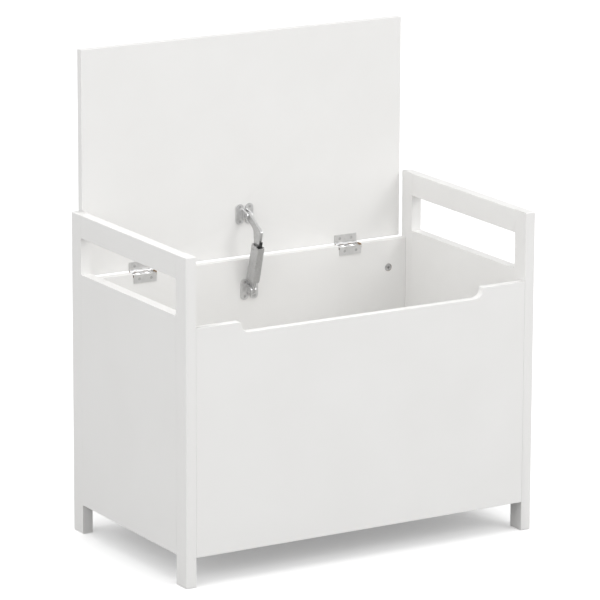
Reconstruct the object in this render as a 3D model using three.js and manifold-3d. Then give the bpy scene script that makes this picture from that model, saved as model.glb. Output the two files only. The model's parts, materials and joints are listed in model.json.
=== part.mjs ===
// A white painted toy box with a hinged lid, two handle openings and a braked lid stay.
// Millimetres. +X right, +Z up, the front faces -Y. The origin is on the floor, under the middle
// of the overall box with the lid open. Heights are measured from the floor, and depths from the
// front face of the box (see `fromFront`).
import * as THREE from 'three';
import { mergeVertices } from 'three/addons/utils/BufferGeometryUtils.js';
import Module from 'manifold-3d';

const wasm = await Module();
wasm.setup();

// ---------------------------------------------------------------- driving dimensions
const BOX = { width: 760, depth: 440, height: 627 };
const POST = { width: 21, depth: 37 };
const RAIL_HEIGHT = 45.6;
const PANEL = { thickness: 15, bottom: 57, top: 493.5 };
const SIDE_PANEL_TOP = 511.8;
const SCOOP = { fromSide: 115.5, depth: 20.5, cornerRadius: 3, innerRadius: 17.5 };
const FLOOR_BOARD = { thickness: 12, height: 74, groove: 6 };
const LID = { width: 710, thickness: 15, top: 933.9, aboveAxis: 2.2, behindAxis: 2.9 };
const GAP = 0.3;

// The hinge barrels sit in notches in the top edge of the back panel.
const HINGE = {
  fromSide: 150, length: 50, thickness: 1.5, axisDepth: 441, axisHeight: 493.3,
  barrelRadius: 2.7, pinRadius: 1.5, knuckles: 5, sides: 14,
  bodyFlange: 19.2, lidFlange: 18.3, screwInset: 12, bodyScrewDown: 11, lidScrewUp: 10.5,
  notchMargin: 1, notchDepth: 7.3,
};
const SCREW = {
  headRadius: 3.1, headHeight: 1.3, shankRadius: 1.6, length: 12.5, tip: 3, sides: 8,
  recessReach: 1.8, recessHalfWidth: 0.4, recessDepth: 0.7,
};
const PIVOT = {
  radius: 2.5, headRadius: 3.8, headHeight: 0.9, chamfer: 0.4, clearance: 0.1, sides: 16, endPlay: 0.4,
};

const CAM = {
  radius: 7.5, depth: 11.5, fromPost: 40, heights: [110, 437.5], sides: 16,
  socketReach: 3.2, socketHalfWidth: 0.9, socketDepth: 2, mouthLength: 11.3,
};
const CAM_BOLT = {
  shankRadius: 3, neckRadius: 1.9, neckLength: 4.5, headRadius: 3.1, headLength: 3, chamfer: 0.8,
  behindCamCentre: 2.5, inPost: 12, tip: 2, sides: 8,
};

// The stay is a parallelogram with the lid: the hinge axis, the lid pivot, the elbow and the
// base pivot are its corners, so the housing turns with the lid and the arm keeps its direction.
const STAY = { lidStandoff: 17.15, baseStandoff: 13.05, lidPivotUp: 85.5, basePivotDown: 59.9 };
const BRACKET = {
  padWidth: 16.4, padHeight: 41, padSpacing: 21.4, thickness: 3,
  earThickness: 3.5, earRadius: 6.5, earHalfBase: 10, slot: 5.8, screwSpacing: 28,
};
const HOUSING = {
  lean: 15.3, behindPivot: 2.8, depth: 28, width: 16.5, cornerRadius: 4, wall: 2, bottom: 22.9, top: 94.8,
  slotLength: 17.3,
};
const END_LUG = { radius: 6, plugTop: 36, flange: 2.3, flangeInset: 0.5 };
const ARM = { thickness: 5, hubRadius: 5.6, hubWidth: 10.2, headRadius: 6.8, hubSides: 24 };
const BRAKE = {
  shoeBottom: 64, shoeTop: 82.5, bladeRelief: 8.6, lipTop: 94.4, lipFrom: 3.3,
  stemFrom: 8.4, stemThickness: 2, stemTop: 107,
  springRadius: 4.2, wireRadius: 0.6, turns: 6, springPlay: 0.4,
};

// ---------------------------------------------------------------- derived places
const lidFaceDepth = HINGE.axisDepth + LID.behindAxis;
const lidBottom = HINGE.axisHeight + LID.aboveAxis;
const overallDepth = lidFaceDepth + LID.thickness;
const fromFront = depth => depth - overallDepth / 2;
const backInnerDepth = BOX.depth - PANEL.thickness;
const innerHalfWidth = BOX.width / 2 - POST.width;
const hingeAxis = { y: fromFront(HINGE.axisDepth), z: HINGE.axisHeight };
const hingeCentres = { left: HINGE.fromSide - BOX.width / 2, right: BOX.width / 2 - HINGE.fromSide };
const bodyLeafTop = hingeAxis.z - HINGE.barrelRadius + GAP;

// ---------------------------------------------------------------- materials
const material = (color, roughness, metalness = 0) =>
  new THREE.MeshStandardMaterial({ color, roughness, metalness });
const whitePaint = () => material(0xf2f1ee, 0.45);
const satinSteel = () => material(0xb4b5b6, 0.35, 0.9);
const brassPlate = () => material(0xb08a55, 0.35, 0.9);
const zincCast = () => material(0xc2c3c2, 0.45, 0.7);
const greyMetal = () => material(0x9c9c9b, 0.5, 0.4);
const blackPlastic = () => material(0x1d1d1e, 0.5);
const springSteel = () => material(0x8b8d90, 0.3, 0.9);

// ---------------------------------------------------------------- geometry helpers
function toSolid(geometry) {
  const bare = geometry.clone();
  bare.deleteAttribute('normal');
  bare.deleteAttribute('uv');
  const merged = mergeVertices(bare, 1e-4);
  return new wasm.Manifold(new wasm.Mesh({
    numProp: 3,
    vertProperties: new Float32Array(merged.attributes.position.array),
    triVerts: new Uint32Array(merged.index.array),
  }));
}

function toGeometry(solid) {
  const mesh = solid.getMesh();
  const geometry = new THREE.BufferGeometry();
  const positions = new Float32Array(mesh.vertProperties);
  geometry.setAttribute('position', new THREE.BufferAttribute(positions, 3));
  geometry.setIndex(new THREE.BufferAttribute(new Uint32Array(mesh.triVerts), 1));
  geometry.computeVertexNormals();
  return geometry;
}

const cut = (geometry, ...tools) =>
  toGeometry(tools.reduce((solid, tool) => solid.subtract(toSolid(tool)), toSolid(geometry)));
const join = (geometry, ...others) =>
  toGeometry(others.reduce((solid, other) => solid.add(toSolid(other)), toSolid(geometry)));

/** A box given by its lowest and highest corner. */
function block([x0, y0, z0], [x1, y1, z1]) {
  const geometry = new THREE.BoxGeometry(x1 - x0, y1 - y0, z1 - z0);
  return geometry.translate((x0 + x1) / 2, (y0 + y1) / 2, (z0 + z1) / 2);
}

/** A cylinder along X, centred on (x, y, z). */
function rodAlongX(radius, length, [x, y, z], sides = PIVOT.sides) {
  return new THREE.CylinderGeometry(radius, radius, length, sides)
    .rotateZ(-Math.PI / 2).translate(x, y, z);
}

/** A cylinder along Y, from y0 to y1. */
function rodAlongY(radius, x, z, y0, y1, sides) {
  return new THREE.CylinderGeometry(radius, radius, y1 - y0, sides).translate(x, (y0 + y1) / 2, z);
}

/** A turned piece: profile points are [radius, along]; its axis is laid along Y. */
function turned(profile, sides) {
  return new THREE.LatheGeometry(profile.map(([r, along]) => new THREE.Vector2(r, along)), sides);
}

/** Extrudes a side view, drawn as (forward, up), across the box along X, centred on x = 0. */
const sideView = new THREE.Matrix4().makeBasis(
  new THREE.Vector3(0, -1, 0), new THREE.Vector3(0, 0, 1), new THREE.Vector3(-1, 0, 0));
function extrudeAcross(shape, width, curveSegments = 8) {
  const geometry = new THREE.ExtrudeGeometry(shape, { depth: width, bevelEnabled: false, curveSegments });
  return geometry.translate(0, 0, -width / 2).applyMatrix4(sideView);
}

/** A rectangle with round corners, centred on the origin. */
function roundedRectangle(width, height, radius) {
  const x = width / 2 - radius;
  const y = height / 2 - radius;
  const shape = new THREE.Shape();
  shape.absarc(x, y, radius, 0, Math.PI / 2);
  shape.absarc(-x, y, radius, Math.PI / 2, Math.PI);
  shape.absarc(-x, -y, radius, Math.PI, 1.5 * Math.PI);
  shape.absarc(x, -y, radius, 1.5 * Math.PI, 2 * Math.PI);
  shape.closePath();
  return shape;
}

const toyBox = new THREE.Group();
function place(name, geometry, surface, parent = toyBox) {
  const mesh = new THREE.Mesh(geometry, surface);
  mesh.name = name;
  parent.add(mesh);
  return mesh;
}

// ---------------------------------------------------------------- screws and their holes
/** Both bars of a cross recess in a face at depth 0 that looks to -Y. */
function crossRecess(reach, halfWidth, depth) {
  return [[reach, halfWidth], [halfWidth, reach]].map(([x, z]) => block([-x, -1, -z], [x, depth, z]));
}

// A countersunk screw points along +Y with the face of its head at depth 0.
const screwGeometry = cut(
  turned([[0, 0], [SCREW.headRadius, 0], [SCREW.shankRadius, SCREW.headHeight],
    [SCREW.shankRadius, SCREW.length - SCREW.tip], [0, SCREW.length]], SCREW.sides),
  ...crossRecess(SCREW.recessReach, SCREW.recessHalfWidth, SCREW.recessDepth));

const screws = (plateFace, spots) => spots.map(([x, z]) => new THREE.Vector3(x, plateFace, z));

/** The countersunk hole that a screw needs in a plate and in the board behind it. */
function screwHole({ x, y, z }) {
  const { headRadius, shankRadius, headHeight, length, sides } = SCREW;
  const headHole = headRadius + GAP;
  const shankHole = shankRadius + GAP;
  return turned([[0, -GAP], [headHole, -GAP], [headHole, 0], [shankHole, headHeight],
    [shankHole, length + GAP], [0, length + GAP]], sides).translate(x, y, z);
}

function placeScrews(prefix, spots) {
  spots.forEach((spot, index) =>
    place(`${prefix}_${index + 1}`, screwGeometry.clone(), satinSteel()).position.copy(spot));
}

// ---------------------------------------------------------------- where the fittings sit
const bodyLeafFace = fromFront(backInnerDepth) - GAP / 2 - HINGE.thickness;
const lidLeafFace = fromFront(lidFaceDepth) - GAP / 2 - HINGE.thickness;
const hingeScrews = {};
for (const [side, x] of Object.entries(hingeCentres)) {
  const offset = HINGE.length / 2 - HINGE.screwInset;
  const bodyHeight = PANEL.top - HINGE.bodyScrewDown;
  const lidHeight = hingeAxis.z + HINGE.lidScrewUp;
  hingeScrews[side] = {
    body: screws(bodyLeafFace, [[x - offset, bodyHeight], [x + offset, bodyHeight]]),
    lid: screws(lidLeafFace, [[x - offset, lidHeight], [x + offset, lidHeight]]),
  };
}

const pivots = {
  lid: { y: fromFront(lidFaceDepth) - STAY.lidStandoff, z: hingeAxis.z + STAY.lidPivotUp },
  base: { y: fromFront(backInnerDepth) - STAY.baseStandoff, z: hingeAxis.z - STAY.basePivotDown },
};
pivots.elbow = {
  y: pivots.lid.y + pivots.base.y - hingeAxis.y,
  z: pivots.lid.z + pivots.base.z - hingeAxis.z,
};
const armReach = { back: pivots.lid.y - pivots.elbow.y, up: pivots.lid.z - pivots.elbow.z };
const housingLean = THREE.MathUtils.degToRad(HOUSING.lean);
const elbowInHousing = new THREE.Vector3(0, pivots.elbow.y - pivots.base.y, pivots.elbow.z - pivots.base.z)
  .applyAxisAngle(new THREE.Vector3(1, 0, 0), -housingLean);

const bracketFace = {
  lid: fromFront(lidFaceDepth) - GAP / 2,
  base: fromFront(backInnerDepth) - GAP / 2,
};
function bracketScrews(end) {
  const across = BRACKET.padSpacing / 2;
  const [low, high] = [-1, 1].map(sign => pivots[end].z + sign * BRACKET.screwSpacing / 2);
  return screws(bracketFace[end] - BRACKET.thickness,
    [[-across, high], [across, high], [-across, low], [across, low]]);
}
const bracketScrewSpots = { lid: bracketScrews('lid'), base: bracketScrews('base') };

// ---------------------------------------------------------------- cam locks
/** The cams of one panel; `inward` is +1 where its inner face looks to +Y. */
function camSpots(panelName, innerFace, inward) {
  const spots = [];
  for (const [side, sign] of [['left', -1], ['right', 1]]) {
    CAM.heights.forEach((height, index) => spots.push({
      name: `${panelName}_${side}_${index === 0 ? 'lower' : 'upper'}`,
      x: sign * (innerHalfWidth - CAM.fromPost), sign, z: height, innerFace, inward,
    }));
  }
  return spots;
}
const frontCams = camSpots('front', fromFront(PANEL.thickness), 1);
const backCams = camSpots('back', fromFront(backInnerDepth), -1);

/** A cylinder along Y into the panel, from above its inner face to the given depth. */
function bore({ x, z, innerFace, inward }, radius, above, depth, sides) {
  const ends = [innerFace + inward * above, innerFace - inward * depth];
  return rodAlongY(radius, x, z, Math.min(...ends), Math.max(...ends), sides);
}

/** A cylinder along the bolt, from the given distance beside the cam's centre towards the post. */
function boltChannel({ x, sign, z, innerFace, inward }, radius, from, to) {
  const depth = innerFace - inward * PANEL.thickness / 2;
  return rodAlongX(radius, to - from, [x + sign * (from + to) / 2, depth, z], CAM_BOLT.sides);
}

const camHoles = spot => [
  bore(spot, CAM.radius + GAP, 1, CAM.depth + GAP, CAM.sides),
  boltChannel(spot, CAM_BOLT.headRadius + GAP, 0, CAM.fromPost + 1),
];

function addCamLock(spot) {
  const { x, z, sign, innerFace, inward } = spot;
  const disc = bore(spot, CAM.radius, 0, CAM.depth, CAM.sides);
  const mouth = boltChannel(spot, CAM_BOLT.headRadius + GAP, CAM.radius - CAM.mouthLength, CAM.radius + 1);
  const socket = crossRecess(CAM.socketReach, CAM.socketHalfWidth, CAM.socketDepth)
    .map(bar => bar.rotateZ((1 + inward) * Math.PI / 2).translate(x, innerFace, z));
  place(`cam_${spot.name}`, cut(disc, mouth, ...socket), zincCast());

  const { shankRadius, neckRadius, headRadius, headLength, neckLength, chamfer, tip } = CAM_BOLT;
  const reach = CAM_BOLT.behindCamCentre + CAM.fromPost + CAM_BOLT.inPost;
  const neckEnd = headLength + neckLength;
  const profile = [[0, 0], [headRadius - chamfer, 0], [headRadius, chamfer], [headRadius, headLength],
    [neckRadius, headLength], [neckRadius, neckEnd], [shankRadius, neckEnd],
    [shankRadius, reach - tip], [0, reach]];
  const bolt = place(`cam_bolt_${spot.name}`, turned(profile, CAM_BOLT.sides), satinSteel());
  bolt.geometry.rotateZ(-sign * Math.PI / 2);
  bolt.position.set(x - sign * CAM_BOLT.behindCamCentre, innerFace - inward * PANEL.thickness / 2, z);
}

// ---------------------------------------------------------------- carcass
const groove = block(
  [-innerHalfWidth - FLOOR_BOARD.groove, fromFront(PANEL.thickness - FLOOR_BOARD.groove),
    FLOOR_BOARD.height - GAP],
  [innerHalfWidth + FLOOR_BOARD.groove, fromFront(backInnerDepth + FLOOR_BOARD.groove),
    FLOOR_BOARD.height + FLOOR_BOARD.thickness + GAP]);

/** Holes in a post for the bolts of the cams next to it. */
const postBoltHoles = (sign, cams) => cams.filter(spot => spot.sign === sign)
  .map(spot => boltChannel(spot, CAM_BOLT.shankRadius + GAP, 0, CAM.fromPost + CAM_BOLT.inPost + 1));

function addSideFrame(side, sign) {
  const [x0, x1] = [innerHalfWidth * sign, BOX.width / 2 * sign].sort((a, b) => a - b);
  const frontPost = block([x0, fromFront(0), 0], [x1, fromFront(POST.depth), BOX.height]);
  const rearPost = block([x0, fromFront(BOX.depth - POST.depth), 0], [x1, fromFront(BOX.depth), BOX.height]);
  const [near, far] = [fromFront(POST.depth) + GAP, fromFront(BOX.depth - POST.depth) - GAP];
  const rail = block([x0, near, BOX.height - RAIL_HEIGHT], [x1, far, BOX.height]);
  const panel = block([x0, near, PANEL.bottom], [x1, far, SIDE_PANEL_TOP]);
  place(`${side}_front_post`, cut(frontPost, groove, ...postBoltHoles(sign, frontCams)), whitePaint());
  place(`${side}_rear_post`, cut(rearPost, groove, ...postBoltHoles(sign, backCams)), whitePaint());
  place(`${side}_top_rail`, rail, whitePaint());
  place(`${side}_side_panel`, cut(panel, groove), whitePaint());
}

/** Front view of the front panel: its top edge dips between two shoulders. */
function frontPanelShape() {
  const half = innerHalfWidth - GAP;
  const wall = BOX.width / 2 - SCOOP.fromSide;
  const bottom = PANEL.top - SCOOP.depth;
  const { cornerRadius, innerRadius } = SCOOP;
  const shape = new THREE.Shape();
  shape.moveTo(-half, PANEL.bottom);
  shape.lineTo(half, PANEL.bottom);
  shape.lineTo(half, PANEL.top);
  shape.absarc(wall + cornerRadius, PANEL.top - cornerRadius, cornerRadius, Math.PI / 2, Math.PI);
  shape.absarc(wall - innerRadius, bottom + innerRadius, innerRadius, 0, -Math.PI / 2, true);
  shape.absarc(-wall + innerRadius, bottom + innerRadius, innerRadius, -Math.PI / 2, -Math.PI, true);
  shape.absarc(-wall - cornerRadius, PANEL.top - cornerRadius, cornerRadius, 0, Math.PI / 2);
  shape.lineTo(-half, PANEL.top);
  shape.closePath();
  return shape;
}

function hingeNotch(x) {
  const half = HINGE.length / 2 + HINGE.notchMargin;
  return block([x - half, fromFront(backInnerDepth) - 1, PANEL.top - HINGE.notchDepth],
    [x + half, fromFront(BOX.depth) + 1, PANEL.top + 1]);
}

function addPanels() {
  const front = new THREE.ExtrudeGeometry(frontPanelShape(),
    { depth: PANEL.thickness, bevelEnabled: false, curveSegments: 8 });
  front.rotateX(Math.PI / 2).translate(0, fromFront(PANEL.thickness), 0);
  place('front_panel', cut(front, groove, ...frontCams.flatMap(camHoles)), whitePaint());

  const half = innerHalfWidth - GAP;
  const back = block([-half, fromFront(backInnerDepth), PANEL.bottom],
    [half, fromFront(BOX.depth), PANEL.top]);
  const notches = Object.values(hingeCentres).map(hingeNotch);
  const screwed = [...hingeScrews.left.body, ...hingeScrews.right.body, ...bracketScrewSpots.base];
  const fittingHoles = [...backCams.flatMap(camHoles), ...screwed.map(screwHole)];
  place('back_panel', cut(back, groove, ...notches, ...fittingHoles), whitePaint());

  const reach = FLOOR_BOARD.groove - 2 * GAP;
  place('bottom_panel', block(
    [-innerHalfWidth - reach, fromFront(PANEL.thickness) - reach, FLOOR_BOARD.height],
    [innerHalfWidth + reach, fromFront(backInnerDepth) + reach, FLOOR_BOARD.height + FLOOR_BOARD.thickness]),
  whitePaint());
}

function addLid() {
  const board = block([-LID.width / 2, fromFront(lidFaceDepth), lidBottom],
    [LID.width / 2, fromFront(lidFaceDepth) + LID.thickness, LID.top]);
  const screwed = [...hingeScrews.left.lid, ...hingeScrews.right.lid, ...bracketScrewSpots.lid];
  place('lid', cut(board, ...screwed.map(screwHole)), whitePaint());
}

// ---------------------------------------------------------------- hinges
const knucklePitch = HINGE.length / HINGE.knuckles;
const knuckleCentre = index => (index - (HINGE.knuckles - 1) / 2) * knucklePitch;

/** Adds a leaf's own knuckles to its plates and clears the room of the other leaf's knuckles. */
function leafWithKnuckles(x, plates, ownKnuckles, otherKnuckles) {
  const { barrelRadius, pinRadius, length, sides } = HINGE;
  const barrel = (centre, radius, width) =>
    rodAlongX(radius, width, [x + centre, hingeAxis.y, hingeAxis.z], sides);
  const own = ownKnuckles.map(index => barrel(knuckleCentre(index), barrelRadius, knucklePitch - GAP));
  const others = otherKnuckles.map(index =>
    barrel(knuckleCentre(index), barrelRadius + GAP, knucklePitch + GAP));
  return cut(join(...plates, ...own), ...others, barrel(0, pinRadius + PIVOT.clearance, length + 2));
}

function addHinge(side, x) {
  const { length, thickness, bodyFlange, lidFlange, barrelRadius, pinRadius, sides } = HINGE;
  const [x0, x1] = [x - length / 2 + GAP, x + length / 2 - GAP];
  const [bodyKnuckles, lidKnuckles] = [[0, 2, 4], [1, 3]];
  const fingers = bodyKnuckles.map(index => {
    const middle = x + knuckleCentre(index);
    const half = (knucklePitch - GAP) / 2;
    return block([middle - half, bodyLeafFace, bodyLeafTop - thickness],
      [middle + half, hingeAxis.y, bodyLeafTop]);
  });
  const bodyPlate = block([x0, bodyLeafFace, PANEL.top - bodyFlange],
    [x1, bodyLeafFace + thickness, bodyLeafTop]);
  const lidPlate = block([x0, lidLeafFace, hingeAxis.z + barrelRadius / 3],
    [x1, lidLeafFace + thickness, hingeAxis.z + lidFlange]);
  const bodyLeaf = leafWithKnuckles(x, [bodyPlate, ...fingers], bodyKnuckles, lidKnuckles);
  const lidLeaf = leafWithKnuckles(x, [lidPlate], lidKnuckles, bodyKnuckles);
  place(`${side}_hinge_body_leaf`, cut(bodyLeaf, ...hingeScrews[side].body.map(screwHole)), satinSteel());
  place(`${side}_hinge_lid_leaf`, cut(lidLeaf, ...hingeScrews[side].lid.map(screwHole)), satinSteel());
  place(`${side}_hinge_pin`,
    rodAlongX(pinRadius, length - GAP, [x, hingeAxis.y, hingeAxis.z], sides), brassPlate());
  placeScrews(`${side}_hinge_body_screw`, hingeScrews[side].body);
  placeScrews(`${side}_hinge_lid_screw`, hingeScrews[side].lid);
}

// ---------------------------------------------------------------- lid stay
const pinHole = (y, z) => rodAlongX(PIVOT.radius + PIVOT.clearance, 2 * BRACKET.padSpacing, [0, y, z]);

/** Side view of a bracket's ear: it reaches forward from the pads to the pivot at (standoff, 0). */
function earShape(standoff) {
  const { thickness, earRadius, earHalfBase } = BRACKET;
  const shape = new THREE.Shape();
  shape.moveTo(thickness / 2, -earHalfBase);
  shape.lineTo(thickness, -earHalfBase);
  shape.absarc(standoff, 0, earRadius, -0.4 * Math.PI, 0.4 * Math.PI);
  shape.lineTo(thickness, earHalfBase);
  shape.lineTo(thickness / 2, earHalfBase);
  shape.closePath();
  return shape;
}

/** A bracket: two upright pads, a bridge between them and two ears that carry the pivot pin. */
function bracketGeometry(pivot, face, spots) {
  const { padWidth, padHeight, padSpacing, thickness, earThickness, earHalfBase, slot } = BRACKET;
  const padShape = roundedRectangle(padWidth, padHeight, padWidth / 2 - GAP / 10);
  const parts = [-1, 1].flatMap(sign => [
    new THREE.ExtrudeGeometry(padShape, { depth: thickness, bevelEnabled: false, curveSegments: 5 })
      .rotateX(Math.PI / 2).translate(sign * padSpacing / 2, face, pivot.z),
    extrudeAcross(earShape(face - pivot.y), earThickness)
      .translate(sign * (slot + earThickness) / 2, face, pivot.z),
  ]);
  const bridge = block([-padSpacing / 2, face - thickness, pivot.z - earHalfBase],
    [padSpacing / 2, face, pivot.z + earHalfBase]);
  return cut(join(bridge, ...parts), pinHole(pivot.y, pivot.z), ...spots.map(screwHole));
}

/** A headed pin along X, centred on its group's origin. */
function headedPin(length) {
  const half = length / 2;
  const { radius, headRadius, headHeight, chamfer } = PIVOT;
  return turned([[0, -half], [radius - chamfer, -half], [radius, chamfer - half], [radius, half],
    [headRadius, half], [headRadius - chamfer, half + headHeight], [0, half + headHeight]], PIVOT.sides)
    .rotateZ(Math.PI / 2);
}

function addBrackets() {
  const pinLength = BRACKET.slot + 2 * (BRACKET.earThickness + PIVOT.endPlay);
  for (const end of ['base', 'lid']) {
    const { y, z } = pivots[end];
    const bracket = bracketGeometry(pivots[end], bracketFace[end], bracketScrewSpots[end]);
    place(`stay_${end}_bracket`, bracket, zincCast());
    place(`stay_${end}_pin`, headedPin(pinLength), satinSteel()).position.set(0, y, z);
    placeScrews(`stay_${end}_screw`, bracketScrewSpots[end]);
  }
}

/** Side view of the arm, with the elbow at the origin: a round hub, a shank, a crank and a head. */
function armShape() {
  const { hubRadius, headRadius } = ARM;
  const barAngle = -Math.PI / 6;
  const shape = new THREE.Shape();
  shape.absarc(0, 0, hubRadius, Math.PI, 2 * Math.PI);
  shape.quadraticCurveTo(8, 4.6, 12, 8);
  shape.quadraticCurveTo(16.6, 12, 17.6, 17);
  shape.lineTo(21.4, 30.2);
  shape.quadraticCurveTo(23.4, 36.8, 17.8, 39.9);
  shape.absarc(-armReach.back, armReach.up, headRadius, Math.PI / 2 + barAngle, 1.5 * Math.PI + barAngle);
  shape.lineTo(-11.5, 40.2);
  shape.quadraticCurveTo(-5.6, 36.4, -5.3, 30.5);
  shape.lineTo(-5, 22.5);
  shape.quadraticCurveTo(-2.8, 14, -hubRadius, 4);
  shape.closePath();
  return shape;
}

function addArm(group) {
  const { thickness, hubRadius, hubWidth, hubSides } = ARM;
  const blade = extrudeAcross(armShape(), thickness);
  const hub = rodAlongX(hubRadius, hubWidth, [0, 0, 0], hubSides);
  const arm = cut(join(blade, hub), pinHole(0, 0), pinHole(armReach.back, armReach.up));
  place('stay_arm', arm, greyMetal(), group);
}

/** A round-cornered bar on the housing's centre line; local Z points from the base pivot to the top. */
function housingBar(inset, from, to) {
  const { width, depth, cornerRadius, behindPivot } = HOUSING;
  const section = roundedRectangle(width - 2 * inset, depth - 2 * inset, cornerRadius - inset);
  return new THREE.ExtrudeGeometry(section, { depth: to - from, bevelEnabled: false, curveSegments: 4 })
    .translate(0, behindPivot, from);
}

function housingShell() {
  const { wall, bottom, top, slotLength, depth } = HOUSING;
  const halfSlot = BRACKET.slot / 2;
  return cut(housingBar(0, bottom, top), housingBar(wall, bottom - 1, top + 1),
    block([-halfSlot, 0, top - slotLength], [halfSlot, depth, top + 1]),
    pinHole(elbowInHousing.y, elbowInHousing.z));
}

/** The plug in the housing's lower end and its tongue, which turns on the base pin. */
function endLug() {
  const { radius, plugTop, flange, flangeInset } = END_LUG;
  const { wall, bottom, behindPivot } = HOUSING;
  const tongue = new THREE.Shape();
  tongue.absarc(0, 0, radius, Math.PI, 2 * Math.PI);
  tongue.lineTo(radius, bottom - 1);
  tongue.lineTo(-radius - behindPivot, bottom - 1);
  tongue.closePath();
  const flangeTop = bottom - GAP;
  return cut(join(housingBar(wall + GAP, flangeTop - flange, plugTop),
    housingBar(flangeInset, flangeTop - flange, flangeTop),
    extrudeAcross(tongue, ARM.thickness)), pinHole(0, 0));
}

/** The black shoe presses on the arm's hub; its front lip and stem stop the arm when the lid is open. */
function brakeShoe() {
  const { shoeBottom, shoeTop, lipTop, lipFrom, bladeRelief, stemFrom, stemThickness, stemTop } = BRAKE;
  const { width, depth, wall, behindPivot } = HOUSING;
  const halfBlade = BRACKET.slot / 2;
  const forward = distance => behindPivot - distance;
  const { y, z } = elbowInHousing;
  const body = cut(housingBar(wall + GAP, shoeBottom, lipTop),
    block([-width, forward(lipFrom), shoeTop], [width, depth, lipTop + 1]),
    rodAlongX(ARM.hubRadius + GAP, width, [0, y, z], ARM.hubSides),
    block([-halfBlade, y, z - bladeRelief], [halfBlade, depth, lipTop]));
  const stem = block([-ARM.thickness / 2, forward(stemFrom + stemThickness), lipTop - 1],
    [ARM.thickness / 2, forward(stemFrom), stemTop]);
  return join(body, stem);
}

function addHousing(group) {
  const pinLength = HOUSING.width + 2 * GAP;
  place('stay_housing', housingShell(), greyMetal(), group);
  place('stay_elbow_pin', headedPin(pinLength), satinSteel(), group).position.copy(elbowInHousing);
  place('stay_end_lug', endLug(), greyMetal(), group);
  place('stay_brake_shoe', brakeShoe(), blackPlastic(), group);
  place('stay_brake_spring', brakeSpring(), springSteel(), group);
}

/** The helix of the brake spring's wire, between the end lug's plug and the brake shoe. */
class BrakeHelix extends THREE.Curve {
  getPoint(t, target = new THREE.Vector3()) {
    const { springRadius, wireRadius, turns, springPlay, shoeBottom } = BRAKE;
    const angle = 2 * Math.PI * turns * t;
    const from = END_LUG.plugTop + springPlay + wireRadius;
    const to = shoeBottom - springPlay - wireRadius;
    return target.set(springRadius * Math.cos(angle), springRadius * Math.sin(angle), from + t * (to - from));
  }
}

function brakeSpring() {
  const section = new THREE.Shape().absarc(0, 0, BRAKE.wireRadius, 0, 2 * Math.PI);
  return new THREE.ExtrudeGeometry(section,
    { steps: BRAKE.turns * 11, extrudePath: new BrakeHelix(), curveSegments: 3 })
    .translate(0, HOUSING.behindPivot, 0);
}

function addStay() {
  addBrackets();
  const armGroup = new THREE.Group();
  armGroup.position.set(0, pivots.elbow.y, pivots.elbow.z);
  const housingGroup = new THREE.Group();
  housingGroup.position.set(0, pivots.base.y, pivots.base.z);
  housingGroup.rotation.x = housingLean;
  toyBox.add(armGroup, housingGroup);
  addArm(armGroup);
  addHousing(housingGroup);
}

// ---------------------------------------------------------------- assembly
addSideFrame('left', -1);
addSideFrame('right', 1);
addPanels();
addLid();
for (const [side, x] of Object.entries(hingeCentres)) addHinge(side, x);
addStay();
[...frontCams, ...backCams].forEach(addCamLock);

export default toyBox;
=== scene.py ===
"""The looks of a white painted toy box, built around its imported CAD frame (metres, +Z up)."""
import json
import math
import random

import bmesh
import bpy
from mathutils import Matrix, Vector

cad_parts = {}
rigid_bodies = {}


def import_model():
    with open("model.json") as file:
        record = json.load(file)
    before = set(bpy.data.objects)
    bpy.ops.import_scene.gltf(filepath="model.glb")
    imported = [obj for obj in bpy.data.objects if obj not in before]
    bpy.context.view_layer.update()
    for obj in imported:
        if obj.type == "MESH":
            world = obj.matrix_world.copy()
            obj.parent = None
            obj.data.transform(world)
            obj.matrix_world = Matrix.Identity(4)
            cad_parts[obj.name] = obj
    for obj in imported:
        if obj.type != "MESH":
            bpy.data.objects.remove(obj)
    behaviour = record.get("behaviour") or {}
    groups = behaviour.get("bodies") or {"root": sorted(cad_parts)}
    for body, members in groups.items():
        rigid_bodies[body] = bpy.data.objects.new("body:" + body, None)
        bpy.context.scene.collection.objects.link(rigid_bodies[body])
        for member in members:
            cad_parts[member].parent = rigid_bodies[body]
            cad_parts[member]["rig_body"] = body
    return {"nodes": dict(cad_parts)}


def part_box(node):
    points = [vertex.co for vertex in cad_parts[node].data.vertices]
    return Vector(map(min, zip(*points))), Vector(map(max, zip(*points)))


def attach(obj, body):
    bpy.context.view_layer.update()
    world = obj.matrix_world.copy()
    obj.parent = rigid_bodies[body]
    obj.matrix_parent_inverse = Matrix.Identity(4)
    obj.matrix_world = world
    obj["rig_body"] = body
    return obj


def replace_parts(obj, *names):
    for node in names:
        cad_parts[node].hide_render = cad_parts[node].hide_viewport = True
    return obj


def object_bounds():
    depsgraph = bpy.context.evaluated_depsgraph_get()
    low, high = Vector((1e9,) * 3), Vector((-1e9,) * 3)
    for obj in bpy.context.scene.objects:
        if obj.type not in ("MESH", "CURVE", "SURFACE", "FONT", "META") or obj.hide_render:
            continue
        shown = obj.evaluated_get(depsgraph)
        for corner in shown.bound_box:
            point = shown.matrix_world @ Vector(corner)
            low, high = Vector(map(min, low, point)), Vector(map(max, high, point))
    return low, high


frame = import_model()
cad_low, cad_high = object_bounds()

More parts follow.
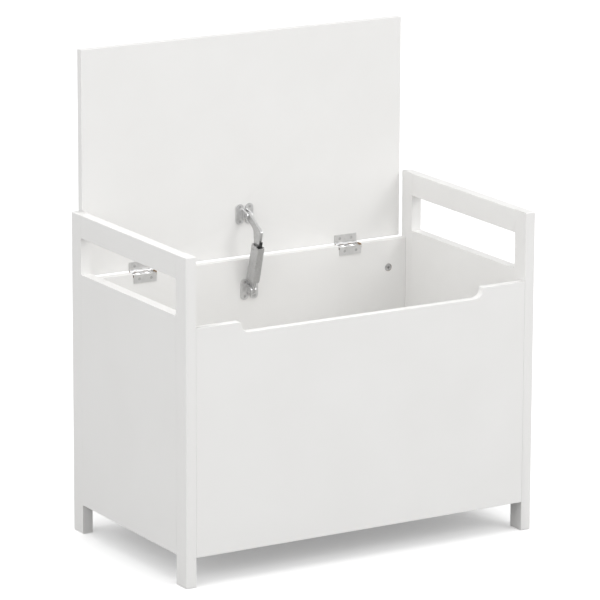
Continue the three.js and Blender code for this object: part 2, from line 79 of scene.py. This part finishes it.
MM = 0.001
WHITE_BOARDS = [f"{side}_{part}" for side in ("left", "right")
                for part in ("front_post", "rear_post", "top_rail", "side_panel")]
WHITE_BOARDS += ["front_panel", "back_panel", "bottom_panel", "lid"]
HINGE_SIDES = ("left", "right")
CAMS = [f"{panel}_{side}_{level}" for panel in ("front", "back")
        for side in ("left", "right") for level in ("lower", "upper")]
SCREWS = [f"{side}_hinge_{leaf}_screw_{number}" for side in HINGE_SIDES
          for leaf in ("body", "lid") for number in (1, 2)]
SCREWS += [f"stay_{end}_screw_{number}" for end in ("base", "lid") for number in (1, 2, 3, 4)]
random.seed(11)


# ------------------------------------------------------------------ materials
class Shader:
    """A new node material with its Principled shader, and short calls to add nodes to it."""

    def __init__(self, name):
        self.material = bpy.data.materials.new(name)
        self.material.use_nodes = True
        self.tree = self.material.node_tree
        self.surface = self.tree.nodes["Principled BSDF"]
        self.coords = self.add("ShaderNodeTexCoord").outputs["Object"]

    def add(self, kind, inputs=None, **settings):
        node = self.tree.nodes.new(kind)
        for key, value in settings.items():
            setattr(node, key, value)
        for key, value in (inputs or {}).items():
            self.feed(node.inputs[key], value)
        return node

    def feed(self, socket, value):
        """Links a node's output to a socket, or sets the socket to a plain value."""
        if isinstance(value, bpy.types.NodeSocket):
            self.tree.links.new(value, socket)
        else:
            socket.default_value = value

    def set(self, **values):
        """Feeds the Principled shader's sockets, named with underscores for spaces."""
        for key, value in values.items():
            self.feed(self.surface.inputs[key.replace("_", " ")], value)

    def stretched(self, scale):
        return self.add("ShaderNodeMapping", {"Vector": self.coords, "Scale": scale}).outputs["Vector"]

    def noise(self, scale, detail=2.0, roughness=0.5, vector=None):
        node = self.add("ShaderNodeTexNoise", {
            "Vector": vector or self.coords, "Scale": scale, "Detail": detail, "Roughness": roughness})
        return node.outputs["Fac"]

    def ramp(self, factor, low, high, start=0.3, end=0.7):
        """The factor's range from `start` to `end`, spread over `low` to `high`."""
        node = self.add("ShaderNodeMapRange", {
            "Value": factor, "From Min": start, "From Max": end, "To Min": low, "To Max": high})
        return node.outputs["Result"]

    def patches(self, scale, detail=3.0):
        """Noise spread over 0 to 1, for blending two colours."""
        return self.ramp(self.noise(scale, detail), 0.0, 1.0)

    def blend(self, factor, first, second):
        node = self.add("ShaderNodeMix", data_type="RGBA")
        self.feed(node.inputs["Factor"], factor)
        self.feed(node.inputs["A"], first)
        self.feed(node.inputs["B"], second)
        return node.outputs["Result"]

    def bump(self, height, distance, strength, normal=None):
        node = self.add("ShaderNodeBump", {"Height": height, "Distance": distance, "Strength": strength})
        if normal:
            self.feed(node.inputs["Normal"], normal)
        return node.outputs["Normal"]


def grey(value):
    return (value, value, value, 1.0)


def white_lacquer():
    """Sprayed satin lacquer on smooth board: faint orange peel, soft blotches and a few dust nibs."""
    darker = (0.868, 0.862, 0.848, 1)
    paler = (0.888, 0.883, 0.871, 1)
    look = Shader("white_lacquer")
    look.set(Base_Color=look.blend(look.patches(6.0), darker, paler))
    look.set(Roughness=look.ramp(look.noise(55.0, 4.0), 0.30, 0.40))
    peel = look.bump(look.noise(420.0, 2.0), 0.06 * MM, 0.35)
    nibs = look.ramp(look.noise(900.0, 0.0), 0.0, 1.0, start=0.78, end=0.84)
    look.set(Normal=look.bump(nibs, 0.08 * MM, 0.5, peel))
    return look.material


def brushed_steel(name, brightness, roughness, grain):
    """Bare steel with fine lines along the axis of the smallest grain scale, or specks if all are equal."""
    look = Shader(name)
    lines = look.noise(1.0, 3.0, 0.6, look.stretched(grain))
    look.set(Base_Color=look.blend(look.patches(90.0, 2.0), grey(brightness * 0.9), grey(brightness)))
    look.set(Roughness=look.ramp(lines, roughness - 0.07, roughness + 0.08))
    look.set(Normal=look.bump(lines, 0.04 * MM, 0.4), Metallic=1.0)
    return look.material


def cast_zinc(name, darker, paler):
    """Die-cast zinc: satin, slightly pebbled, a little darker in patches."""
    look = Shader(name)
    pebble = look.noise(1300.0, 3.0)
    look.set(Base_Color=look.blend(look.patches(120.0), grey(darker), grey(paler)))
    look.set(Roughness=look.ramp(pebble, 0.30, 0.46))
    look.set(Normal=look.bump(pebble, 0.05 * MM, 0.5), Metallic=0.85)
    return look.material


def satin_steel():
    """Zinc-plated steel of the stay's pressed parts: satin, faintly clouded, with fine upright lines."""
    look = Shader("stay_grey")
    lines = look.noise(1.0, 3.0, 0.6, look.stretched((2200, 2200, 90)))
    look.set(Base_Color=look.blend(look.patches(300.0), grey(0.54), grey(0.62)))
    look.set(Roughness=look.ramp(lines, 0.24, 0.38))
    look.set(Normal=look.bump(lines, 0.03 * MM, 0.35), Metallic=0.8)
    return look.material


def painted_shade_black():
    """Near-black with a fine grain: painted shade, a black part filling the shaded gap in the stay's mouth
    between the arm and the front wall.
    """
    look = Shader("painted_shade_black")
    grain = look.noise(3000.0, 2.0, 0.6)
    look.set(Base_Color=look.blend(look.patches(400.0), grey(0.012), grey(0.022)))
    look.set(Roughness=look.ramp(grain, 0.35, 0.55))
    look.set(Normal=look.bump(grain, 0.04 * MM, 0.5))
    return look.material


def raw_fibreboard():
    """Bare medium-density fibreboard where a board was routed or drilled: brown, fuzzy, finely flecked."""
    dark_fibre = (0.30, 0.185, 0.10, 1)
    pale_fibre = (0.46, 0.31, 0.185, 1)
    fleck = (0.20, 0.115, 0.06, 1)
    look = Shader("raw_fibreboard")
    fibres = look.noise(1.0, 4.0, 0.7, look.stretched((700, 700, 2500)))
    tone = look.blend(look.ramp(fibres, 0.0, 1.0), dark_fibre, pale_fibre)
    flecks = look.ramp(look.noise(1600.0, 2.0), 0.0, 0.5, start=0.55, end=0.75)
    look.set(Base_Color=look.blend(flecks, tone, fleck))
    look.set(Roughness=look.ramp(fibres, 0.8, 0.95))
    look.set(Normal=look.bump(fibres, 0.1 * MM, 0.8))
    return look.material


def passivated_steel():
    """Yellow passivated steel, as on the hinge pins."""
    look = Shader("passivated_pin")
    deeper = (0.52, 0.31, 0.12, 1)
    paler = (0.66, 0.44, 0.20, 1)
    look.set(Base_Color=look.blend(look.patches(700.0), deeper, paler))
    look.set(Roughness=look.ramp(look.noise(2200.0, 2.0), 0.24, 0.40), Metallic=1.0)
    return look.material


FLOOR_BOUNCE = 0.42  # grey of the floor in the light that it throws on the box
FLOOR_GLOW = 0.23  # extra brightness of the floor where the camera sees it


def pale_floor():
    """The studio sweep that the box stands on: the camera sees it brighter than it lights the box."""
    look = Shader("pale_floor")
    seen = look.blend(look.patches(2.0, 2.0), grey(0.95), grey(0.97))
    camera_ray = look.add("ShaderNodeLightPath").outputs["Is Camera Ray"]
    look.set(Base_Color=look.blend(camera_ray, grey(FLOOR_BOUNCE), seen), Emission_Color=grey(1.0))
    look.set(Emission_Strength=look.ramp(camera_ray, 0.0, FLOOR_GLOW, start=0.0, end=1.0))
    look.set(Roughness=look.ramp(look.noise(20.0, 2.0), 0.85, 0.95), Specular_IOR_Level=0.1)
    return look.material


LACQUER = white_lacquer()
RAW_BOARD = raw_fibreboard()
HINGE_STEEL = brushed_steel("hinge_steel", 0.80, 0.36, grain=(60, 1800, 1800))
SCREW_STEEL = brushed_steel("screw_steel", 0.62, 0.30, grain=(900, 900, 900))
SPRING_STEEL = brushed_steel("spring_steel", 0.38, 0.28, grain=(1500, 1500, 1500))
BRACKET_ZINC = cast_zinc("bracket_zinc", 0.66, 0.78)
CAM_ZINC = cast_zinc("cam_zinc", 0.46, 0.60)
STAY_GREY = satin_steel()
SHADE_BLACK = painted_shade_black()
PIN_STEEL = passivated_steel()


# ------------------------------------------------------------------ mesh helpers
MERGE_DISTANCE = 0.002 * MM
SEAM_DISTANCE = 0.001 * MM
FLAT_WITHIN = math.radians(0.5)
CRISP_ANGLE = math.radians(40)
TURNED_SMOOTH = math.radians(35)
REFINED_SMOOTH = math.radians(32)
BOARD_SMOOTH = math.radians(40)


def new_piece(name, mesh, material, node, placement=None):
    """A new object on its CAD node's body; `placement` is its world matrix if the mesh isn't in place."""
    piece = bpy.data.objects.new(name, mesh)
    bpy.context.scene.collection.objects.link(piece)
    if not mesh.materials:
        mesh.materials.append(material)
    if placement:
        piece.matrix_world = placement
    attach(piece, frame["nodes"][node]["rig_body"])
    return piece


def mesh_from(bm, name):
    mesh = bpy.data.meshes.new(name)
    bm.normal_update()
    bm.to_mesh(mesh)
    bm.free()
    return mesh


def smooth_by_angle(mesh, angle):
    mesh.shade_smooth()
    mesh.set_sharp_from_angle(angle=angle)


def keep_faces_flat(piece):
    """Weights the shading by face area, so that only the rounded edges look rounded."""
    piece.modifiers.new("flat_faces", "WEIGHTED_NORMAL").keep_sharp = True


def cleaned(node):
    """The CAD mesh of a node with its facets merged into whole faces."""
    bm = bmesh.new()
    bm.from_mesh(frame["nodes"][node].data)
    bmesh.ops.remove_doubles(bm, verts=bm.verts, dist=MERGE_DISTANCE)
    bmesh.ops.dissolve_limit(bm, angle_limit=FLAT_WITHIN, verts=bm.verts, edges=bm.edges)
    return bm


def refined(node, material, radius, segments=3):
    """A copy of a CAD part whose crisp edges are broken by a small radius."""
    bm = cleaned(node)
    crisp = [edge for edge in bm.edges if edge.is_manifold and edge.calc_face_angle(0) > CRISP_ANGLE]
    bmesh.ops.bevel(bm, geom=crisp, offset=radius, segments=segments, profile=0.5, affect="EDGES",
                    clamp_overlap=True)
    mesh = mesh_from(bm, f"{node}_mesh")
    smooth_by_angle(mesh, REFINED_SMOOTH)
    piece = new_piece(f"{node}_fine", mesh, material, node)
    keep_faces_flat(piece)
    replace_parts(piece, node)


# ------------------------------------------------------------------ boards
FRAME_EDGE = 1.6 * MM  # round-over of the posts and top rails
PANEL_EDGE = 0.6 * MM  # round-over of the panels, the bottom and the lid
ROUND_OVER_SEGMENTS = 4
ON_PLANE = 0.01 * MM  # a vertex this near a plane lies in it
SCOOP_BAND = 21 * MM  # the front panel's scoop lies in this band below its top
SCOOP_SIDE = 20 * MM  # and at least this far from its ends


def in_plane(verts, axis, where):
    return all(abs(vert.co[axis] - where) < ON_PLANE for vert in verts)


def on_outline(edge, low, high):
    """True for an edge of the board's outer block: two of its coordinates sit at the block's limits."""
    fixed = sum(any(in_plane(edge.verts, axis, limit[axis]) for limit in (low, high)) for axis in range(3))
    return fixed >= 2


def joint_planes(node, low, high):
    """The faces of a board that butt against its neighbours, as (axis, coordinate)."""
    if node.endswith("post"):
        inner_side = (0, high.x if node.startswith("left") else low.x)
        return [inner_side, (1, high.y if node.endswith("front_post") else low.y)]
    if node.endswith(("top_rail", "side_panel")):
        return [(1, low.y), (1, high.y)]
    if node in ("front_panel", "back_panel"):
        return [(0, low.x), (0, high.x)]
    return []


def in_scoop(edge, low, high):
    """True for an edge of the front panel's scoop, on its front or inner face."""
    near_top = all(vert.co.z > high.z - SCOOP_BAND for vert in edge.verts)
    on_face = any(in_plane(edge.verts, 1, limit.y) for limit in (low, high))
    clear_of_ends = all(low.x + SCOOP_SIDE < vert.co.x < high.x - SCOOP_SIDE for vert in edge.verts)
    return near_top and on_face and clear_of_ends


def is_bare(face, node, low, high):
    """True for a face that was routed or drilled after painting: not on the outer block or in the scoop."""
    on_block = any(in_plane(face.verts, axis, limit[axis]) for axis in range(3) for limit in (low, high))
    in_dip = node == "front_panel" and all(vert.co.z > high.z - SCOOP_BAND for vert in face.verts)
    return not on_block and not in_dip


def painted_board(node, radius):
    """A copy of a CAD board, lacquered, with its outer edges rounded over and its joints left crisp."""
    low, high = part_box(node)
    bm = cleaned(node)
    for face in bm.faces:
        face.material_index = int(is_bare(face, node, low, high))
    joints = joint_planes(node, low, high)
    rounded = []
    for edge in bm.edges:
        at_joint = any(in_plane(edge.verts, axis, where) for axis, where in joints)
        if on_outline(edge, low, high) and not at_joint:
            rounded.append(edge)
    if node == "front_panel":
        rounded += [edge for edge in bm.edges if edge not in rounded and in_scoop(edge, low, high)]
    bmesh.ops.bevel(bm, geom=rounded, offset=radius, segments=ROUND_OVER_SEGMENTS, profile=0.5,
                    affect="EDGES", clamp_overlap=False)
    mesh = mesh_from(bm, f"{node}_mesh")
    smooth_by_angle(mesh, BOARD_SMOOTH)
    piece = new_piece(f"{node}_painted", mesh, LACQUER, node)
    mesh.materials.append(RAW_BOARD)
    keep_faces_flat(piece)
    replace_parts(piece, node)


for board in WHITE_BOARDS:
    painted_board(board, FRAME_EDGE if board.endswith(("post", "top_rail")) else PANEL_EDGE)


# ------------------------------------------------------------------ turned parts
def turned(name, profile, axis, steps=40):
    """A turned mesh: profile points are (radius, along) in mm, along the axis vector."""
    bm = bmesh.new()
    verts = [bm.verts.new((radius * MM, 0, along * MM)) for radius, along in profile]
    edges = [bm.edges.new(pair) for pair in zip(verts, verts[1:])]
    bmesh.ops.spin(bm, geom=verts + edges, cent=(0, 0, 0), axis=(0, 0, 1), angle=2 * math.pi, steps=steps,
                   use_merge=True)
    bmesh.ops.remove_doubles(bm, verts=bm.verts, dist=SEAM_DISTANCE)
    bmesh.ops.recalc_face_normals(bm, faces=bm.faces)
    bm.transform(Vector((0, 0, 1)).rotation_difference(Vector(axis)).to_matrix().to_4x4())
    mesh = mesh_from(bm, name)
    smooth_by_angle(mesh, TURNED_SMOOTH)
    return mesh


def thread(start, turns, pitch, root, crest, rise):
    """The profile of a thread as rings: each climbs from the root radius to the crest and back."""
    profile = []
    for turn in range(turns):
        along = start + pitch * turn
        profile += [(root, along), (crest, along + rise), (root, along + 2 * rise)]
    return profile


def flipped(profile, length):
    """The same profile measured from the other end."""
    return [(radius, length - along) for radius, along in reversed(profile)]


SOCKET_TAPER = 0.72  # size of a cutting bar's deep end, as a share of its near end
SOCKET_PROUD = 0.6  # how far the cutting bar stands out of the face, in mm


def tapered_bar(reach, half_width, depth):
    """One bar of a cross socket, sunk into a face at the origin that looks to -Y (mm)."""
    bm = bmesh.new()
    bmesh.ops.create_cube(bm, size=2.0)
    for vert in bm.verts:
        deep = vert.co.y > 0
        narrowing = SOCKET_TAPER if deep else 1.0
        across = vert.co.x * reach * narrowing
        upright = vert.co.z * half_width * narrowing
        vert.co = Vector((across, depth if deep else -SOCKET_PROUD, upright)) * MM
    return bm


def with_cross_socket(mesh, reach, half_width, depth):
    """Sinks a tapered cross socket into the face of a turned mesh that looks to -Y."""
    collection = bpy.context.scene.collection
    blank = bpy.data.objects.new("socket_body", mesh)
    collection.objects.link(blank)
    cutters = []
    for turn in (0, math.pi / 2):
        bm = tapered_bar(reach, half_width, depth)
        bm.transform(Matrix.Rotation(turn, 4, "Y"))
        cutter = bpy.data.objects.new("socket_bar", mesh_from(bm, "socket_bar"))
        collection.objects.link(cutter)
        cutters.append(cutter)
        cut = blank.modifiers.new("socket", "BOOLEAN")
        cut.operation = "DIFFERENCE"
        cut.solver = "EXACT"
        cut.object = cutter
    bpy.context.view_layer.update()
    result = bpy.data.meshes.new_from_object(blank.evaluated_get(bpy.context.evaluated_depsgraph_get()))
    result.name = mesh.name
    for helper in (blank, *cutters):
        bpy.data.objects.remove(helper)
    smooth_by_angle(result, TURNED_SMOOTH)
    return result


def along_y(node, mesh, material, turn, low_end=True):
    """Puts a turned mesh on a node's axis along Y, with its face at the box's near or far end."""
    low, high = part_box(node)
    middle = (low + high) / 2
    placement = (Matrix.Translation((middle.x, low.y if low_end else high.y, middle.z))
                 @ Matrix.Rotation(0 if low_end else math.pi, 4, "Z") @ Matrix.Rotation(turn, 4, "Y"))
    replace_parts(new_piece(f"{node}_fine", mesh, material, node, placement), node)


def along_x(node, profile, material, steps=40):
    """A turned piece on a node's axis along X, its profile measured from the box's left end."""
    low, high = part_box(node)
    mesh = turned(f"{node}_fine", profile, (1, 0, 0), steps)
    mesh.transform(Matrix.Translation((low.x, (low.y + high.y) / 2, (low.z + high.z) / 2)))
    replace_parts(new_piece(f"{node}_fine", mesh, material, node), node)


def length_along_x(node):
    """The length of a node's box along X, in mm."""
    low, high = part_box(node)
    return (high.x - low.x) / MM


# ------------------------------------------------------------------ screws, cams, bolts and pins
SCREW_TURN = math.pi  # screws stop at any angle
CAM_TURN = 0.12  # cams are all driven home, within about seven degrees


def screw_mesh():
    """A countersunk cross-head wood screw, its head's face at the origin, pointing along +Y."""
    head = [(0, 0.02), (2.5, 0.05), (2.95, 0.16), (3.06, 0.34), (2.9, 0.5), (1.62, 1.35), (1.3, 1.7)]
    shank = thread(start=2.3, turns=8, pitch=1, root=1.2, crest=1.58, rise=0.35)
    tip = [(0.7, 11.4), (0, 12.4)]
    blank = turned("cross_head_screw", head + shank + tip, (0, 1, 0))
    return with_cross_socket(blank, reach=1.75, half_width=0.42, depth=0.8)


def cam_mesh():
    """A cam disc with a grooved face, a chamfered rim and a cross socket, sunk along +Y."""
    face = [(0, 0.05), (5.3, 0.05)]
    groove = [(5.5, 0.3), (5.9, 0.3), (6.1, 0.06)]
    rim = [(6.95, 0.06), (7.35, 0.4), (7.4, 1.0)]
    underside = [(7.4, 11.0), (7.0, 11.4), (0, 11.4)]
    blank = turned("cam_disc", face + groove + rim + underside, (0, 1, 0), steps=56)
    return with_cross_socket(blank, reach=3.2, half_width=0.95, depth=2.4)


def headed_pin(node):
    """A pivot pin with a domed head on its left end and a chamfered tail."""
    length = length_along_x(node)
    head = [(0, 0.02), (1.6, 0.06), (2.9, 0.22), (3.55, 0.55), (3.6, 0.88)]
    shank = [(2.48, 0.9), (2.48, length - 0.5)]
    tail = [(2.1, length - 0.05), (0, length - 0.02)]
    along_x(node, head + shank + tail, SCREW_STEEL)


def cam_bolt(cam):
    """A double-ended cam bolt: ball head and neck at the cam, thread in the post."""
    node = f"cam_bolt_{cam}"
    length = length_along_x(node)
    ball = [(0, 0.02), (1.6, 0.1), (2.8, 0.8), (3.05, 1.5), (2.8, 2.3)]
    neck = [(1.85, 3.0), (1.85, 7.3)]
    shoulder = [(2.95, 7.6), (2.95, length - 13)]
    threaded = thread(start=length - 12.6, turns=9, pitch=1.15, root=2.2, crest=2.95, rise=0.4)
    tip = [(1.6, length - 1), (0, length - 0.05)]
    profile = ball + neck + shoulder + threaded + tip
    along_x(node, flipped(profile, length) if "left" in cam else profile, SCREW_STEEL, steps=28)


def hinge_pin(node):
    """A plain pin whose two ends are alike, each with a small chamfer."""
    length = length_along_x(node)
    end_profile = [(0, 0.02), (0.9, 0.08), (1.35, 0.4), (1.42, 0.8)]
    along_x(node, end_profile + flipped(end_profile, length), PIN_STEEL, steps=28)


SCREW_MESH = screw_mesh()
for screw in SCREWS:
    along_y(screw, SCREW_MESH, SCREW_STEEL, turn=random.uniform(0, SCREW_TURN))

CAM_MESH = cam_mesh()
for cam in CAMS:
    along_y(f"cam_{cam}", CAM_MESH, CAM_ZINC, turn=random.uniform(-CAM_TURN, CAM_TURN),
            low_end=cam.startswith("back"))

for pin in ("stay_base_pin", "stay_lid_pin", "stay_elbow_pin"):
    headed_pin(pin)
for cam in CAMS:
    cam_bolt(cam)


# ------------------------------------------------------------------ hinges
for side in HINGE_SIDES:
    for leaf in ("body_leaf", "lid_leaf"):
        refined(f"{side}_hinge_{leaf}", HINGE_STEEL, 0.25 * MM, segments=2)
    hinge_pin(f"{side}_hinge_pin")


# ------------------------------------------------------------------ lid stay
for end in ("base", "lid"):
    refined(f"stay_{end}_bracket", BRACKET_ZINC, 0.5 * MM)
refined("stay_arm", STAY_GREY, 0.7 * MM)
refined("stay_housing", STAY_GREY, 0.5 * MM)
refined("stay_end_lug", STAY_GREY, 0.5 * MM)
# the brake shoe's black is painted shade: a dark part filling the gap in the stay's mouth
refined("stay_brake_shoe", SHADE_BLACK, 0.3 * MM)
refined("stay_brake_spring", SPRING_STEEL, 0.05 * MM, segments=1)


# ------------------------------------------------------------------ camera, light and floor
CAMERA_ROTATION = [math.radians(angle) for angle in (76.0068, -0.2304, -30.881)]
CAMERA_FROM_CENTRE = Vector((-4.1926, -6.99245, 2.01745))
CAMERA_LENS = 264.85
CAMERA_SENSOR = 36.0
CAMERA_REACH = 100.0
AMBIENT = 0.96  # strength of the light from all round
BACKDROP = 1.15  # strength of the background that the camera sees
DARK_SIDE = (0.51, 0.86, 0.0)  # direction from which less light comes
DARK_SIDE_SHARE = 0.35  # light from its middle, as a share of the ambient light
DARK_SIDE_EDGE = 0.72  # cosine at which the light starts to fall off
DARK_SIDE_CORE = 0.94  # cosine from which it is darkest
FLOOR_HALF_SIZE = 20.0
FLOOR_GAP = 0.2 * MM


def add_camera():
    data = bpy.data.cameras.new("camera")
    data.lens = CAMERA_LENS
    data.sensor_width = CAMERA_SENSOR
    data.clip_end = CAMERA_REACH
    camera = bpy.data.objects.new("camera", data)
    bpy.context.scene.collection.objects.link(camera)
    camera.rotation_euler = CAMERA_ROTATION
    camera.location = (cad_low + cad_high) / 2 + CAMERA_FROM_CENTRE
    bpy.context.scene.camera = camera


def add_softbox(name, place, aim, size, watts):
    """A square lamp at a place, turned to its aim."""
    data = bpy.data.lights.new(name, "AREA")
    data.shape = "RECTANGLE"
    data.size = size
    data.size_y = size
    data.energy = watts
    light = bpy.data.objects.new(name, data)
    bpy.context.scene.collection.objects.link(light)
    light.location = place
    light.rotation_euler = (Vector(aim) - Vector(place)).to_track_quat("-Z", "Y").to_euler()


def add_world():
    """White light from all round, weaker from the dark side, with an even backdrop for the camera."""
    world = bpy.data.worlds.new("studio")
    bpy.context.scene.world = world
    world.use_nodes = True
    nodes = world.node_tree.nodes
    links = world.node_tree.links
    background = nodes["Background"]
    background.inputs["Color"].default_value = grey(1.0)
    direction = nodes.new("ShaderNodeTexCoord").outputs["Generated"]
    towards = nodes.new("ShaderNodeVectorMath")
    towards.operation = "DOT_PRODUCT"
    towards.inputs[1].default_value = DARK_SIDE
    links.new(direction, towards.inputs[0])
    ambient = nodes.new("ShaderNodeMapRange")
    ambient.inputs["From Min"].default_value = DARK_SIDE_EDGE
    ambient.inputs["From Max"].default_value = DARK_SIDE_CORE
    ambient.inputs["To Min"].default_value = AMBIENT
    ambient.inputs["To Max"].default_value = AMBIENT * DARK_SIDE_SHARE
    links.new(towards.outputs["Value"], ambient.inputs["Value"])
    rays = nodes.new("ShaderNodeLightPath")
    strength = nodes.new("ShaderNodeMapRange")
    strength.inputs["To Max"].default_value = BACKDROP
    links.new(ambient.outputs["Result"], strength.inputs["To Min"])
    links.new(rays.outputs["Is Camera Ray"], strength.inputs["Value"])
    links.new(strength.outputs["Result"], background.inputs["Strength"])


def add_floor():
    bm = bmesh.new()
    bmesh.ops.create_grid(bm, x_segments=4, y_segments=4, size=FLOOR_HALF_SIZE)
    floor = bpy.data.objects.new("floor", mesh_from(bm, "floor"))
    floor.data.materials.append(pale_floor())
    bpy.context.scene.collection.objects.link(floor)
    floor.location.z = cad_low.z - FLOOR_GAP


add_camera()
add_world()
add_softbox("key", place=(2.4, -3.9, 3.1), aim=(0, 0, 0.5), size=1.8, watts=49)
add_softbox("overhead", place=(0, -0.5, 5.0), aim=(0, -0.2, 0), size=3.0, watts=38)
add_softbox("left_fill", place=(-3.6, -1.6, 2.6), aim=(0, 0, 0.5), size=2.6, watts=23)
add_floor()
bpy.context.scene.view_settings.view_transform = "Standard"
